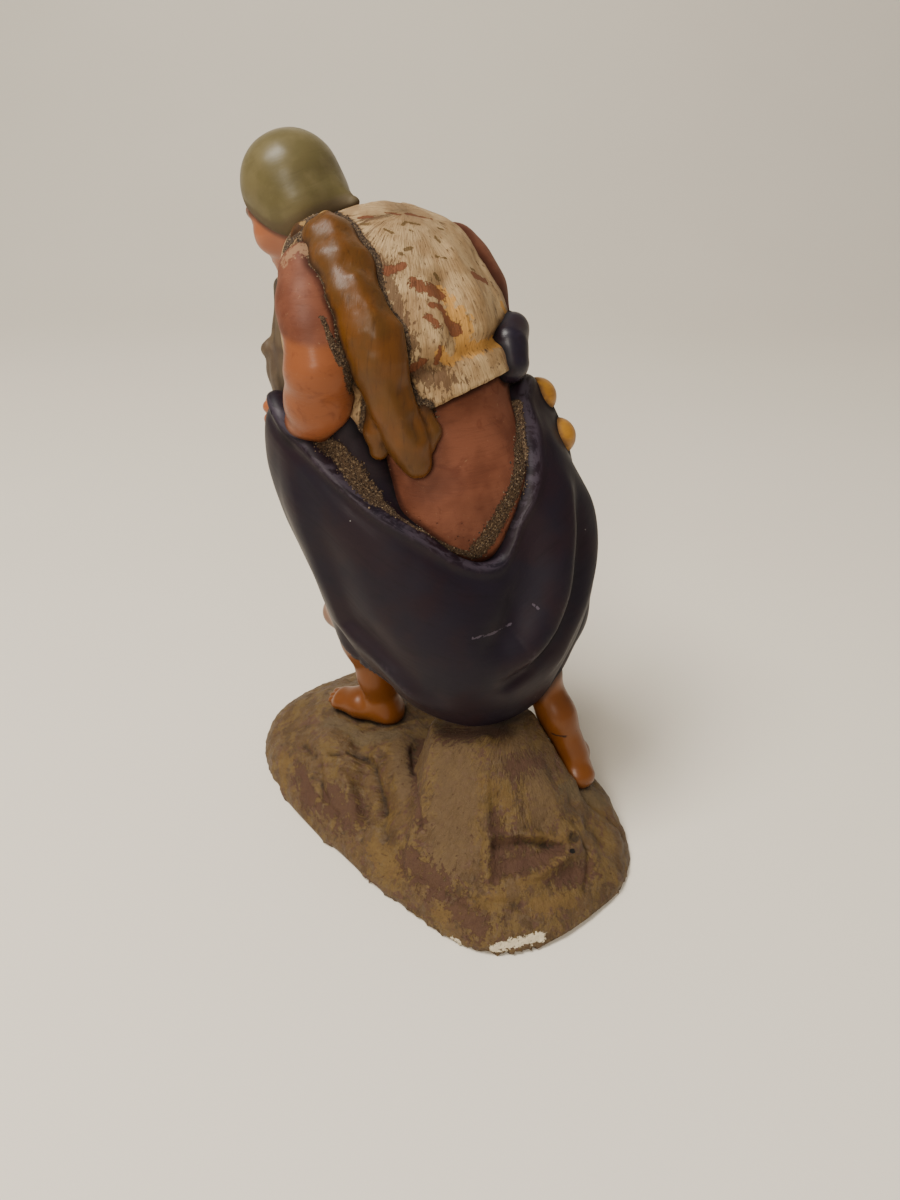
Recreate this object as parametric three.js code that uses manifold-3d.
// A painted terracotta shepherd for a nativity scene, walking up a rock and bent forward under a hide bag.
// It is one moulded piece: rock, legs, cloak, trunk, arms, head, hide and branch are joined in one closed
// body.
// Millimetres, +Z up. The figure faces -Y and its left hand is on +X. The origin is the centre of the
// underside, on the table.
import * as THREE from "three";
import { edgeTable, triTable } from "three/addons/objects/MarchingCubes.js";
import { mergeVertices } from "three/addons/utils/BufferGeometryUtils.js";
import Module from "manifold-3d";

const wasm = await Module();
wasm.setup();

// Driving sizes
const BASE = {
  halfWidth: 38.5, halfLength: 65.5, squareness: 2.6, turn: 4, rim: 4.5, mound: 14, moundPower: 3.2,
};
const HEAD_CENTRE = [9.8, -40.3, 167.4];
const CAP_RADIUS = 12.3;
const FRUIT_RADIUS = 5;
// The rock is made this much deeper than its underside, which is then cut flat
const BURIED = 13;
const CUT_DEPTH = 40;

// Vector helpers for points held as [x, y, z]
const sub = (a, b) => [a[0] - b[0], a[1] - b[1], a[2] - b[2]];
const dot = (a, b) => a[0] * b[0] + a[1] * b[1] + a[2] * b[2];
const cross = (a, b) => [a[1] * b[2] - a[2] * b[1], a[2] * b[0] - a[0] * b[2], a[0] * b[1] - a[1] * b[0]];
const length = (a) => Math.hypot(a[0], a[1], a[2]);
const unit = (a) => a.map((value) => value / length(a));
const mix = (a, b, t) => a + (b - a) * t;
const clamp = (value, low, high) => Math.min(high, Math.max(low, value));
const smoothstep = (low, high, value) => {
  const t = clamp((value - low) / (high - low), 0, 1);
  return t * t * (3 - 2 * t);
};

// Soft union and soft intersection of two signed distances, rounded over the distance k
const join = (a, b, k) => {
  const h = Math.max(k - Math.abs(a - b), 0) / k;
  return Math.min(a, b) - (h * h * k) / 4;
};
const meet = (a, b, k) => -join(-a, -b, k);

// Distance to a solid swept from station a to station b. A station is [x, y, z, half width, half depth];
// side is the direction in which the width is measured.
function sweep(p, a, b, side) {
  const axis = sub(b, a);
  const span = dot(axis, axis);
  const from = sub(p, a);
  const t = clamp(dot(from, axis) / span, 0, 1);
  const offset = [from[0] - axis[0] * t, from[1] - axis[1] * t, from[2] - axis[2] * t];
  const width = mix(a[3], b[3], t);
  const depth = mix(a[4] ?? a[3], b[4] ?? b[3], t);
  const across = dot(offset, side);
  const rest = Math.sqrt(Math.max(dot(offset, offset) - across * across, 0));
  return (Math.hypot(across / width, rest / depth) - 1) * Math.min(width, depth);
}

// A limb, trunk or strap: stations in order, blended over k
function chain(p, stations, k, side = [1, 0, 0]) {
  let distance = sweep(p, stations[0], stations[1], side);
  for (let i = 1; i < stations.length - 1; i += 1) {
    distance = join(distance, sweep(p, stations[i], stations[i + 1], side), k);
  }
  return distance;
}

const ball = (p, centre, radius) => length(sub(p, centre)) - radius;

// How far ridges along lines on a surface raise it; a groove has a rise less than zero
function raised(p, crests) {
  let total = 0;
  for (const { line, rise, width } of crests) {
    let nearest = Infinity;
    for (let i = 0; i < line.length - 1; i += 1) {
      const axis = sub(line[i + 1], line[i]);
      const from = sub(p, line[i]);
      const t = clamp(dot(from, axis) / dot(axis, axis), 0, 1);
      nearest = Math.min(nearest, length(sub(from, axis.map((value) => value * t))));
    }
    total += rise * Math.exp(-((nearest / width) ** 2));
  }
  return total;
}

// Rock base: an oval mound with a low rim, a faceted boulder behind the legs and a pad under the right foot
const BOULDER_CENTRE = [-3, 27, 12];
const BOULDER_FACETS = [
  { heading: 0, lean: 90, reach: 27 },
  { heading: 55, lean: 37, reach: 23.3 },
  { heading: 17, lean: 38, reach: 21.6 },
  { heading: -35, lean: 38, reach: 22 },
  { heading: 125, lean: 17, reach: 25.6 },
  { heading: -90, lean: 12, reach: 17 },
  { heading: 180, lean: 10, reach: 20 },
];
const RIGHT_PAD = { centre: [-27, 36], radius: 11, rise: 4 };
// One corner of the base bulges outward
const CORNER = { heading: 26, width: 13, bulge: 0.062 };
// Ribs and hollows of the rock, and the ledge at the foot of the boulder
const ROCK_CRESTS = [
  { line: [[5, 1, 20], [11, 8, 19], [18, 16, 17]], rise: -1.6, width: 2.6 },
  { line: [[6, -9, 18], [13, 1, 18], [20, 12, 17], [25, 22, 13]], rise: 2.6, width: 3.6 },
  { line: [[17, -14, 17], [22, -4, 15], [29, 6, 12]], rise: -1.6, width: 3.4 },
  { line: [[22, -24, 15], [30, -16, 12]], rise: 1.4, width: 5 },
  { line: [[16, 50.5, 10.5], [8, 54, 13], [-3, 55, 16]], rise: 2.2, width: 2.8 },
  { line: [[-10, 42, 29], [-15, 48, 20], [-18, 54, 11]], rise: -1.6, width: 2.6 },
  { line: [[-1, -24, 19], [10, -12, 18.5], [12, -8, 18]], rise: 1.2, width: 3.4 },
];

// Unit vector at a heading in degrees, from the back (+Y) towards the left (+X), raised by lean
function heading(degrees, lean = 0) {
  const turn = (degrees * Math.PI) / 180;
  const raise = (lean * Math.PI) / 180;
  return [Math.sin(turn) * Math.cos(raise), Math.cos(turn) * Math.cos(raise), Math.sin(raise)];
}

function moundHeight(x, y) {
  const ratio = Math.hypot(x, y) < 1e-6 ? 0 : baseRatio(x, y);
  const pad = Math.hypot(x - RIGHT_PAD.centre[0], y - RIGHT_PAD.centre[1]) / RIGHT_PAD.radius;
  const lumps = 0.9 * Math.sin(x / 6.1 + 1) * Math.sin(y / 7.3) + 0.6 * Math.sin(x / 3.9 - y / 8.7);
  const dome = BASE.mound * (1 - Math.min(ratio, 1) ** BASE.moundPower);
  return BASE.rim + dome + RIGHT_PAD.rise * Math.exp(-pad * pad) + lumps * smoothstep(1, 0.75, ratio);
}

// How far out a spot lies: 0 at the centre of the base, 1 on its outline, which is turned a little and
// bulges at one corner
function baseRatio(x, y) {
  const power = BASE.squareness;
  const [right, back] = heading(-BASE.turn);
  const across = Math.abs(x * back - y * right) / BASE.halfWidth;
  const lengthwise = Math.abs(x * right + y * back) / BASE.halfLength;
  const turned = ((Math.atan2(x, y) * 180) / Math.PI - CORNER.heading) / CORNER.width;
  const outline = (across ** power + lengthwise ** power) ** (1 / power);
  return outline * (1 - CORNER.bulge * Math.exp(-turned * turned));
}

function boulder(p) {
  const from = sub(p, BOULDER_CENTRE);
  let distance = -Infinity;
  for (const facet of BOULDER_FACETS) {
    const gap = dot(from, heading(facet.heading, facet.lean)) - facet.reach;
    distance = distance === -Infinity ? gap : meet(distance, gap, 1.6);
  }
  return distance;
}

function rock(p) {
  const [x, y, z] = p;
  const draft = 0.25 * z;
  const side = (baseRatio(x, y) - 1) * 46 + draft;
  const top = (z - moundHeight(x, y)) * 0.8;
  const ground = -z - BURIED;
  const stone = join(top, boulder(p), 3) - raised(p, ROCK_CRESTS);
  return meet(meet(side, stone, 3), ground, 1);
}

// Cloak: slung round the hips from the left forearm to the right elbow. Each station round the body gives
// its heading, the height of the rim and of the hem, and the radius at four levels from rim to hem.
const CLOAK_AXIS = [-4, 5];
const CLOAK = [
  [-180, 108, 76, 33, 33, 31, 28],
  [-150, 112, 74, 33, 34, 32, 28],
  [-120, 120, 66, 32, 35, 33, 28],
  [-90, 127, 56, 23, 38, 36.8, 31],
  [-75, 124, 51, 18.6, 35, 37.6, 30.6],
  [-60, 117.5, 46, 19, 35.3, 38, 30],
  [-45, 110.5, 43.5, 19.3, 32, 35, 27],
  [-30, 104, 41, 20, 29, 31.5, 24.5],
  [-15, 95.5, 39.5, 19, 26, 28.5, 22],
  [0, 89, 39, 18.5, 24.5, 27, 20.5],
  [30, 90.5, 41, 18, 25.5, 27.5, 20.5],
  [60, 98.5, 46, 21.5, 27.6, 29, 22],
  [80, 105, 51, 26.8, 31.4, 30, 24],
  [95, 112.5, 56, 32.4, 35.2, 33, 28.5],
  [105, 118.5, 60, 36.4, 38.8, 35.5, 31.5],
  [115, 122.5, 63.5, 40.4, 42.4, 37.5, 32.5],
  [128, 127, 66, 43.6, 45.5, 40, 33.5],
  [150, 118, 72, 41, 39, 35, 31],
  [180, 108, 76, 33, 33, 31, 28],
];
// Folds: crest by heading and height, rise, and width ahead of the crest and behind it
const MM_PER_DEGREE = 0.55;
const CLOAK_FOLDS = [
  {
    crest: [[114, 116], [107, 104], [103, 93], [100, 84], [97, 72], [84, 66], [71, 61], [58, 54], [40, 47]],
    rise: 1.7, ahead: 5, behind: 2.2,
  },
  {
    crest: [[100, 100], [94, 84], [90, 74], [76, 69], [62, 63], [48, 56], [32, 49]],
    rise: -1.1, ahead: 2.4, behind: 6,
  },
  {
    crest: [[-58, 112], [-44, 98], [-32, 86], [-26, 78], [-18, 70], [-5, 64], [14, 61.5]],
    rise: 2.4, ahead: 5, behind: 3.4,
  },
  { crest: [[-31, 102], [-20, 89], [-8, 78], [11, 70], [30, 68]], rise: -1.4, ahead: 4.5, behind: 4.5 },
  {
    crest: [[-74, 106], [-60, 89], [-47, 77], [-34, 67], [-25, 59], [-13, 51]],
    rise: 1.2, ahead: 3, behind: 2,
  },
  { crest: [[-86, 96], [-76, 80], [-64, 64], [-50, 52]], rise: 1.3, ahead: 2.6, behind: 2.6 },
  { crest: [[-108, 118], [-106, 92], [-96, 72], [-80, 60]], rise: 1.8, ahead: 5, behind: 4 },
  { crest: [[-134, 112], [-132, 90], [-120, 72]], rise: 1.6, ahead: 5, behind: 4 },
  { crest: [[-160, 106], [-158, 90], [-146, 78]], rise: 1.4, ahead: 5, behind: 5 },
  { crest: [[138, 124], [144, 100], [158, 82]], rise: 1.6, ahead: 5, behind: 5 },
  { crest: [[166, 108], [170, 92], [178, 80]], rise: 1.2, ahead: 4, behind: 4 },
];
// Rolled rim and the furrow below it: depth below the rim, rise and width
const CLOAK_RIM = [[1.6, 0.9, 1.5], [4.6, -0.5, 1.7]];

// Cloth tucked in between the left hip and the rim, and gathered in the right hand
const CLOAK_TUCK = [
  [21, -3, 121, 5],
  [19, -2, 113, 6],
  [14.2, 3, 103, 4.4],
];
const CLOAK_GATHER = [
  [-20, -33.5, 113.5, 3.2],
  [-18, -30, 107, 4.4],
  [-14, -26, 96, 5.4],
];

// Values of the cloak's stations at a heading, on smooth curves through the stations
function cloakStation(degrees) {
  let index = 0;
  while (index < CLOAK.length - 2 && CLOAK[index + 1][0] <= degrees) {
    index += 1;
  }
  const slope = (at, column) => (at === 0 || at === CLOAK.length - 1
    ? 0
    : (CLOAK[at + 1][column] - CLOAK[at - 1][column]) / (CLOAK[at + 1][0] - CLOAK[at - 1][0]));
  const width = CLOAK[index + 1][0] - CLOAK[index][0];
  const t = (degrees - CLOAK[index][0]) / width;
  const late = t * t * (3 - 2 * t);
  const curve = (column) => mix(CLOAK[index][column], CLOAK[index + 1][column], late)
    + width * t * (1 - t) * (slope(index, column) * (1 - t) - slope(index + 1, column) * t);
  return { rim: curve(1), hem: curve(2), radii: [3, 4, 5, 6].map(curve) };
}

// How far a fold raises the cloth at a distance round the cloak and a height
function foldRise({ crest, rise, ahead, behind }, across, up) {
  const line = crest.map(([at, height]) => [at * MM_PER_DEGREE, height]);
  const steps = line.slice(1).map((end, n) => Math.hypot(end[0] - line[n][0], end[1] - line[n][1]));
  const whole = steps.reduce((sum, step) => sum + step, 0);
  let [nearest, side, share, passed] = [Infinity, 0, 0, 0];
  for (let n = 0; n < steps.length; n += 1) {
    const run = [(line[n + 1][0] - line[n][0]) / steps[n], (line[n + 1][1] - line[n][1]) / steps[n]];
    const [x, y] = [across - line[n][0], up - line[n][1]];
    const t = clamp(x * run[0] + y * run[1], 0, steps[n]);
    const away = Math.hypot(x - t * run[0], y - t * run[1]);
    if (away < nearest) {
      nearest = away;
      side = run[0] * y - run[1] * x;
      share = (passed + t) / whole;
    }
    passed += steps[n];
  }
  const width = mix(behind, ahead, smoothstep(-1, 1, side));
  return rise * Math.exp(-((nearest / width) ** 2)) * smoothstep(0, 0.2, share) * smoothstep(1, 0.8, share);
}

function cloakRadius({ radii }, level, degrees, below, height) {
  const u = clamp(level, 0, 1) * 3;
  let radius = (radii[0] * (1 - u) * (2 - u) * (3 - u)) / 6 + (radii[1] * u * (2 - u) * (3 - u)) / 2
    + (radii[2] * u * (u - 1) * (3 - u)) / 2 + (radii[3] * u * (u - 1) * (u - 2)) / 6;
  const shown = 0.4 + 0.6 * smoothstep(-10, 40, degrees);
  for (const [depth, rise, width] of CLOAK_RIM) {
    radius += shown * rise * Math.exp(-(((below - depth) / width) ** 2));
  }
  for (const fold of CLOAK_FOLDS) {
    radius += foldRise(fold, degrees * MM_PER_DEGREE, height);
  }
  return radius;
}

function cloak(p) {
  const [x, y, z] = p;
  const east = x - CLOAK_AXIS[0];
  const north = y - CLOAK_AXIS[1];
  const radius = Math.hypot(east, north);
  const degrees = (Math.atan2(east, north) * 180) / Math.PI;
  const station = cloakStation(degrees);
  const level = (station.rim - z) / (station.rim - station.hem);
  const outer = cloakRadius(station, level, degrees, station.rim - z, z);
  const side = (radius - outer) * 0.85;
  const inward = Math.max(outer - radius, 0);
  const top = (z - station.rim + Math.min(inward * 0.35, 4)) * 0.8;
  const bottom = (station.hem + Math.min(inward * 0.45, 8) - z) * 0.8;
  const cloth = join(meet(meet(side, top, 2.6), bottom, 2), chain(p, CLOAK_TUCK, 3), 3);
  return join(cloth, chain(p, CLOAK_GATHER, 3), 4);
}

// Trunk: pelvis to neck along the bent back
const TRUNK = [
  [-6, 3, 92, 19.5, 17],
  [-6, 3, 102, 19.5, 16],
  [-4.5, -2.5, 118, 18, 13.5],
  [-0.5, -11, 135.5, 24.5, 16.5],
  [1.2, -17, 147, 19.9, 14.2],
  [1.6, -22, 150.2, 15.8, 10.8],
  [3, -27, 151.4, 10.4, 7.4],
];
const NECK = [
  [4, -27, 154.5, 7.5],
  [8, -35, 158, 7],
];
const LEFT_SHOULDER = [
  [22.4, -13, 152.5, 7.4],
  [25.6, -8.4, 147.6, 7],
  [27.4, -5.6, 144.4, 6.9],
];
const LEFT_ELBOW = [
  [28.3, -3.4, 142.6, 6.5],
  [29, -1.4, 136, 7.4],
];
const LEFT_FOREARM = [
  [28.8, -1.8, 134.2, 7.1],
  [27.3, -5, 127.4, 7.2],
  [27, -11, 119, 5.4],
  [25, -20, 117, 4.6],
  [21.6, -29, 114.6, 6.9],
];
const RIGHT_ARM = [
  [-19.5, -16, 153.1, 7],
  [-22.4, -15, 148.7, 7.3],
  [-24.8, -13, 143.6, 7.2],
  [-26.5, -8, 129.5, 6.4],
];
const RIGHT_FOREARM = [
  [-26.5, -8, 128.5, 6.2],
  [-28, -18, 121, 5.4],
  [-25, -27, 117, 4.6],
  [-21.5, -32, 116, 5],
];

function trunk(p) {
  return chain(p, TRUNK, 9);
}

function upperBody(p) {
  let distance = trunk(p);
  distance = join(distance, chain(p, NECK, 3), 4);
  distance = join(distance, chain(p, LEFT_SHOULDER, 3), 4);
  distance = join(distance, join(chain(p, LEFT_ELBOW, 3), chain(p, LEFT_FOREARM, 3), 2), 1);
  distance = join(distance, chain(p, RIGHT_ARM, 3), 4);
  return join(distance, chain(p, RIGHT_FOREARM, 3), 2);
}

// Fleece vest over the trunk, drawn in by a belt above its short skirt
const BELT_POINT = [-2, -5, 130.2];
const SPINE = unit([11, -25, 62]);
const VEST = { thickness: 2, above: 59, below: 8.4, beltWidth: 2, beltDepth: 1.7, flare: 0.13, armhole: 0.8 };
// Front opening of the vest: a wedge that widens from the belt to the collar
const VEST_OPENING = { foot: [3, -26, 130], lean: 0.32, front: -22, rake: 0.13 };
const VEST_YOKE = [
  [15, -18, 155.2, 6.5],
  [5, -20.5, 154.4, 6.8],
  [-6, -19, 151.6, 6.5],
  [-12, -14.5, 152.8, 6.2],
];
const VEST_CRESTS = [
  { line: [[-7.6, -0.6, 154.5], [-9.3, 4.9, 146.5], [-8.9, 8, 139.5]], rise: 1.5, width: 3.4 },
  { line: [[-1.4, 3.6, 150], [-0.9, 7.1, 144.4], [-1.6, 8.6, 139.6]], rise: -1, width: 2.8 },
  { line: [[6.4, 0, 154], [4.6, 3.4, 149.5], [3.6, 8.4, 140.5]], rise: 1.1, width: 2.6 },
  { line: [[-17, -4, 152], [-18.6, 1.2, 144], [-17, 4.4, 138]], rise: -0.7, width: 3 },
  { line: [[12, 6, 140.5], [5, 8.8, 138], [-1, 9.2, 136.5]], rise: 0.9, width: 1.8 },
];

function vest(p) {
  const along = dot(sub(p, BELT_POINT), SPINE);
  const pinch = VEST.beltDepth * Math.exp(-((along / VEST.beltWidth) ** 2));
  const flare = VEST.flare * clamp(-along, 0, VEST.below);
  const under = join(trunk(p), chain(p, VEST_YOKE, 3), 4.5);
  const shell = under - VEST.thickness + pinch - flare - raised(p, VEST_CRESTS);
  const hem = -along - VEST.below;
  const neckline = along - VEST.above;
  const height = p[2] - VEST_OPENING.foot[2];
  const wedge = height * VEST_OPENING.lean - Math.abs(p[0] - VEST_OPENING.foot[0]);
  const opening = Math.min(wedge, VEST_OPENING.front - p[1] + height * VEST_OPENING.rake);
  const cut = meet(meet(meet(shell, hem, 0.7), neckline, 2), opening, 1.5);
  return meet(cut, VEST.armhole - chain(p, RIGHT_ARM, 3), 1.2);
}

// Head: skull, face and a tight cap whose edge is drawn out to a point at the nape
const FACE = unit([0.4, -0.8, -0.45]);
const HEAD_LEFT = unit(cross([0, 0, 1], FACE));
const CROWN = cross(FACE, HEAD_LEFT);
const place = (forward, left, up) => HEAD_CENTRE.map(
  (value, axis) => value + FACE[axis] * forward + HEAD_LEFT[axis] * left + CROWN[axis] * up,
);

function head(p) {
  const skull = chain(p, [[...place(0, 0, 0), 11], [...place(2, 0, -4), 10.6]], 3);
  const jaw = chain(p, [[...place(4, 0, -9), 8], [...place(7, 0, -14), 5.2]], 3);
  const nose = chain(p, [[...place(11.6, 0, -2.5), 1.4], [...place(13.8, 0, -7.4), 1.9]], 2);
  const brow = chain(p, [[...place(9.8, -4.5, -1.2), 2], [...place(9.8, 4.5, -1.2), 2]], 2);
  return join(join(join(skull, jaw, 5), brow, 2), nose, 2);
}

function cap(p) {
  const from = sub(p, HEAD_CENTRE);
  const forward = dot(from, FACE);
  const up = dot(from, CROWN);
  const crown = chain(p, [[...place(0, 0, 1), CAP_RADIUS], [...place(0, 0, -3), CAP_RADIUS]], 1);
  const dome = join(crown, chain(p, [
    [...place(-8, 0, -7), 4.2], [...place(-13.4, 0, -9.6), 1.7],
  ], 3), 4);
  const edge = 11.5 * smoothstep(-1, 12, forward) - 10.8 - up;
  return meet(dome, edge * 0.8, 1.5);
}

// Legs: left leg ahead on the mound, right leg behind
const LEFT_LEG = [
  [6, -2, 96, 12.5],
  [8.6, -17, 78, 10.4],
  [7.6, -27.5, 57, 7.4],
  [6.6, -24.5, 46, 6.5],
  [5, -21.5, 33, 5],
  [4, -20, 25, 4.8],
];
const LEFT_FOOT = [
  [3, -17.5, 21, 5.2, 4],
  [7, -27, 21.1, 5.3, 4.2],
  [11.5, -36, 20, 4.6, 2.9],
];
const KNEE = [9.4, -33.7, 51.8, 5];
const RIGHT_LEG = [
  [-14, 3, 96, 12.5],
  [-18, 6, 80, 11.5],
  [-19, 10, 66, 8.4],
  [-20.1, 20.9, 49, 5.8],
  [-22, 28.8, 36, 4.6],
  [-24.2, 33.8, 24, 4.6],
];
const RIGHT_FOOT = [
  [-23.2, 37.4, 19, 5, 4],
  [-29.6, 27.8, 18.2, 5.2, 3.7],
  [-35, 18.5, 17, 4.6, 2.6],
];
const CALF = [
  [-19, 20.2, 58, 4],
  [-20.2, 25, 49, 3.3],
];

function legs(p) {
  const left = join(chain(p, LEFT_LEG, 4), chain(p, LEFT_FOOT, 3, unit([0.9, 0.43, 0])), 3);
  const right = join(chain(p, RIGHT_LEG, 4), chain(p, RIGHT_FOOT, 3, unit([0.87, -0.49, 0])), 3);
  return Math.min(join(left, ball(p, KNEE, KNEE[3]), 3), join(right, chain(p, CALF, 2), 4));
}

// Animal hide carried over the left shoulder, with leg stubs, hanging to the small of the back
const HIDE = [
  [13.8, -18, 160.9, 3.4, 3],
  [17.6, -12.2, 159.8, 4.9, 4.2],
  [18.8, -6, 154.9, 6.4, 4.8],
  [19.9, -0.2, 149.3, 5.2, 4.4],
  [19.1, 4.9, 142.6, 6.2, 4.6],
  [18.6, 6.8, 136.6, 5.4, 4.4],
  [17.3, 7.3, 131, 4.2, 4],
  [16, 8.9, 125.7, 4.2, 4],
  [13.7, 10.2, 118.9, 4.3, 4.2],
  [12.5, 11.7, 113.8, 3.5, 3.4],
];
const HIDE_STUBS = [
  [[16.5, -19, 161, 2.2], [19.5, -20, 160, 2.4], [21.2, -21, 156.8, 2]],
  [[18.5, 4.6, 126, 2.2], [19, 4.8, 121, 2.4], [18.4, 5.4, 116.4, 2.2]],
  [[9.6, 10.8, 125.5, 1.8], [8.4, 12.4, 120.8, 1.6], [9.4, 12.6, 117.5, 1.4]],
];
const HIDE_SIDE = unit([0.85, -0.5, 0.1]);

function hide(p) {
  let distance = chain(p, HIDE, 4, HIDE_SIDE);
  for (const stub of HIDE_STUBS) {
    distance = join(distance, chain(p, stub, 2), 2);
  }
  return distance;
}

// Knotty branch in the left hand
const BRANCH = [
  [21, -30.7, 100, 4.4],
  [21, -29.7, 128, 4.7],
  [19.5, -28.2, 147, 4.2],
];
const BRANCH_STUB = [
  [21, -29.6, 129, 2.8],
  [24.4, -31.7, 133, 2.3],
];

function branch(p) {
  return join(chain(p, BRANCH, 3), chain(p, BRANCH_STUB, 2), 2);
}

// Loop of cloak over the right elbow and the fruit held in the cloak before it
const ELBOW_LOOP = [
  [-19.7, 6.6, 130.4, 4.8],
  [-20.5, 5, 134.8, 4.1],
  [-24, 2.4, 137.1, 3.4],
  [-31, -8, 136, 3],
];
const FRUIT = [
  [-32, 4, 119], [-35, 9, 109], [-27, -8, 121], [-31, -4, 111], [-21, -20, 117], [-28, -16, 114],
];

function fruit(p) {
  return Math.min(...FRUIT.map((centre) => ball(p, centre, FRUIT_RADIUS)));
}

function elbowLoop(p) {
  return chain(p, ELBOW_LOOP, 3);
}

// The groups, each with its box and the size of the cells that facet it
const GROUPS = {
  rock: { form: rock, low: [-50, -78, -20], high: [50, 78, 48], cell: 6.7 },
  cloak: { form: cloak, low: [-50, -42, 34], high: [46, 46, 136], cell: 5 },
  trunk: { form: upperBody, low: [-40, -44, 66], high: [44, 30, 174], cell: 5 },
  vest: { form: vest, low: [-34, -46, 106], high: [32, 22, 174], cell: 4.5 },
  head: { form: head, low: [-8, -62, 146], high: [28, -22, 184], cell: 2.9 },
  cap: { form: cap, low: [-8, -58, 150], high: [26, -18, 184], cell: 3.3 },
  legs: { form: legs, low: [-44, -50, 12], high: [26, 46, 112], cell: 4.3 },
  hide: { form: hide, low: [-4, -28, 96], high: [32, 22, 170], cell: 3.7 },
  branch: { form: branch, low: [12, -42, 92], high: [40, -20, 158], cell: 3.6 },
  elbow: { form: elbowLoop, low: [-40, -15, 112], high: [-12, 16, 148], cell: 3.8 },
  fruit: { form: fruit, low: [-42, -28, 102], high: [-14, 16, 128], cell: 3.8 },
};

// Corners and edges of a cell in the order of the marching cubes tables
const CORNERS = [[0, 0, 0], [1, 0, 0], [1, 1, 0], [0, 1, 0], [0, 0, 1], [1, 0, 1], [1, 1, 1], [0, 1, 1]];
const EDGES = [
  [0, 1], [1, 2], [2, 3], [3, 0], [4, 5], [5, 6], [6, 7], [7, 4], [0, 4], [1, 5], [2, 6], [3, 7],
];
const SMOOTHING_PASSES = 8;

// Facets a form: finds the cells that its surface crosses, then evens out the vertices and sets them back
// on the surface
function facet({ form, low, high, cell }) {
  const counts = low.map((value, axis) => Math.ceil((high[axis] - value) / cell));
  const point = (i, j, k) => [low[0] + i * cell, low[1] + j * cell, low[2] + k * cell];
  const stride = [1, counts[0] + 1, (counts[0] + 1) * (counts[1] + 1)];
  const values = new Float64Array(stride[2] * (counts[2] + 1));
  const at = (i, j, k) => i * stride[0] + j * stride[1] + k * stride[2];
  for (let k = 0; k <= counts[2]; k += 1) {
    for (let j = 0; j <= counts[1]; j += 1) {
      for (let i = 0; i <= counts[0]; i += 1) {
        values[at(i, j, k)] = form(point(i, j, k)) || 1e-6;
      }
    }
  }
  const vertices = [];
  const triangles = [];
  const known = new Map();
  const crossing = (a, b) => {
    const key = a.index < b.index ? `${a.index}_${b.index}` : `${b.index}_${a.index}`;
    if (!known.has(key)) {
      const t = clamp(values[a.index] / (values[a.index] - values[b.index]), 0.02, 0.98);
      known.set(key, vertices.length);
      vertices.push(a.place.map((value, axis) => mix(value, b.place[axis], t)));
    }
    return known.get(key);
  };
  for (let k = 0; k < counts[2]; k += 1) {
    for (let j = 0; j < counts[1]; j += 1) {
      for (let i = 0; i < counts[0]; i += 1) {
        const corners = CORNERS.map(([x, y, z]) => (
          { index: at(i + x, j + y, k + z), place: point(i + x, j + y, k + z) }
        ));
        const inside = corners.reduce((bits, corner, n) => bits | (values[corner.index] < 0 ? 1 << n : 0), 0);
        if (edgeTable[inside] === 0) continue;
        const cut = EDGES.map(([a, b], n) => (
          edgeTable[inside] & (1 << n) ? crossing(corners[a], corners[b]) : -1
        ));
        for (let n = inside * 16; triTable[n] !== -1; n += 3) {
          triangles.push([cut[triTable[n]], cut[triTable[n + 1]], cut[triTable[n + 2]]]);
        }
      }
    }
  }
  return relax(form, vertices, triangles, cell);
}

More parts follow.
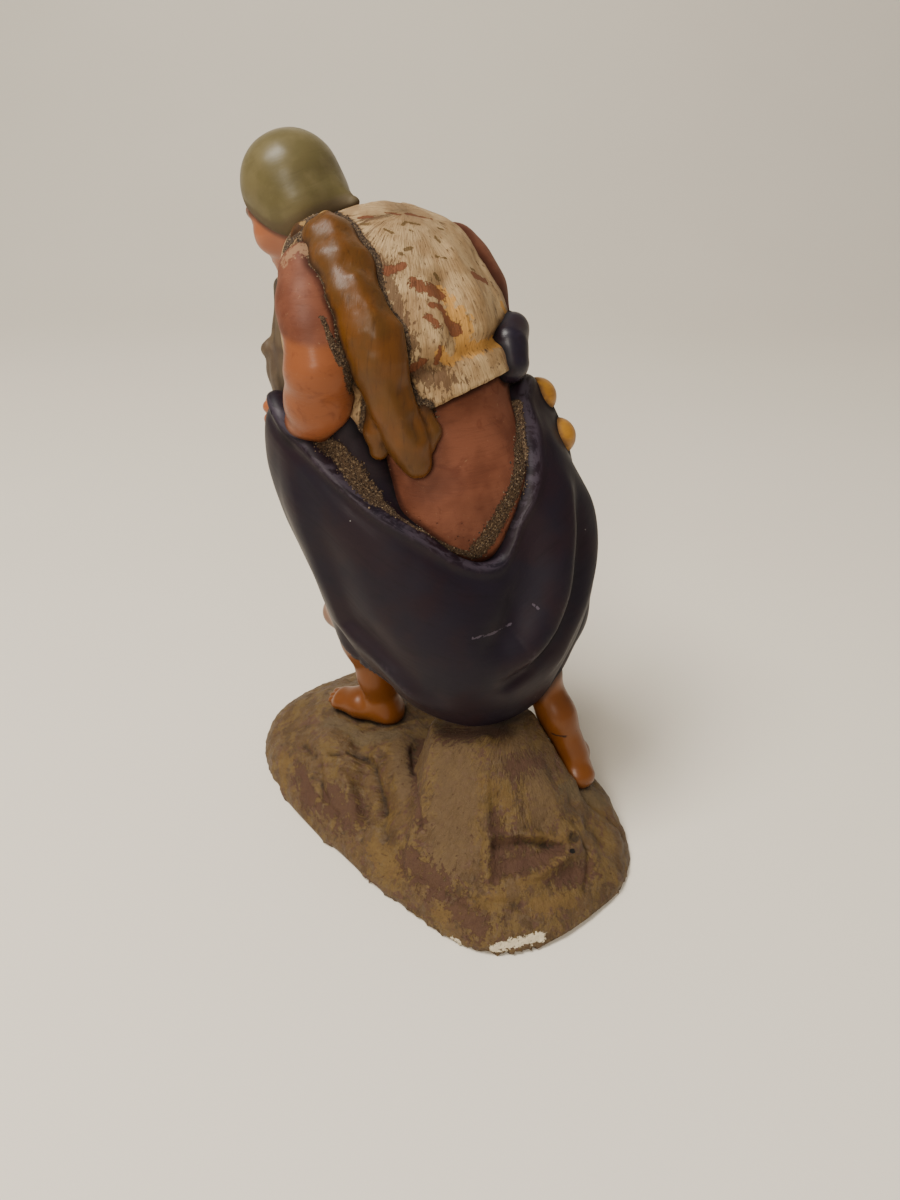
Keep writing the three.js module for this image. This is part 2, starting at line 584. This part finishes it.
function relax(form, vertices, triangles, cell) {
  const neighbours = vertices.map(() => new Set());
  for (const [a, b, c] of triangles) {
    neighbours[a].add(b).add(c);
    neighbours[b].add(a).add(c);
    neighbours[c].add(a).add(b);
  }
  let places = vertices;
  for (let pass = 0; pass < SMOOTHING_PASSES; pass += 1) {
    places = places.map((spot, index) => {
      const ring = [...neighbours[index]];
      const mean = [0, 1, 2].map((axis) => ring.reduce((sum, n) => sum + places[n][axis], 0) / ring.length);
      return settle(form, spot.map((value, axis) => mix(value, mean[axis], 0.6)), cell);
    });
  }
  return { vertices: places, triangles };
}

// Moves a point onto the surface of a form, along the form's slope
function settle(form, start, cell) {
  const step = 0.02;
  let spot = start;
  for (let pass = 0; pass < 3; pass += 1) {
    const value = form(spot);
    const slope = [0, 1, 2].map((axis) => {
      const shifted = [...spot];
      shifted[axis] += step;
      return (form(shifted) - value) / step;
    });
    const steep = Math.max(dot(slope, slope), 0.05);
    const move = slope.map((part) => clamp((-value * part) / steep, -cell / 3, cell / 3));
    spot = spot.map((part, axis) => part + move[axis]);
  }
  return spot;
}

function solid({ vertices, triangles }) {
  let volume = 0;
  for (const [a, b, c] of triangles) {
    volume += dot(vertices[a], cross(vertices[b], vertices[c]));
  }
  const order = volume > 0 ? triangles : triangles.map(([a, b, c]) => [a, c, b]);
  return new wasm.Manifold(new wasm.Mesh({
    numProp: 3,
    vertProperties: new Float32Array(vertices.flat()),
    triVerts: new Uint32Array(order.flat()),
  }));
}

let body = null;
for (const group of Object.values(GROUPS)) {
  const piece = solid(facet(group));
  body = body === null ? piece : body.add(piece);
}

// The underside is flat: a block takes away everything below the table
const block = new THREE.BoxGeometry(3 * BASE.halfLength, 3 * BASE.halfLength, CUT_DEPTH);
block.translate(0, 0, -CUT_DEPTH / 2);
block.deleteAttribute("normal");
block.deleteAttribute("uv");
const cutter = mergeVertices(block);
body = body.subtract(new wasm.Manifold(new wasm.Mesh({
  numProp: 3,
  vertProperties: new Float32Array(cutter.getAttribute("position").array),
  triVerts: new Uint32Array(cutter.index.array),
})));

const mesh = body.getMesh();
const geometry = new THREE.BufferGeometry();
geometry.setAttribute("position", new THREE.BufferAttribute(new Float32Array(mesh.vertProperties), 3));
geometry.setIndex(new THREE.BufferAttribute(new Uint32Array(mesh.triVerts), 1));
geometry.computeVertexNormals();

const terracotta = new THREE.MeshStandardMaterial({ color: 0x8a5a3c, roughness: 0.5, metalness: 0 });
const figure = new THREE.Mesh(geometry, terracotta);
figure.name = "shepherd_figure";
const part = new THREE.Group();
part.add(figure);

export default part;
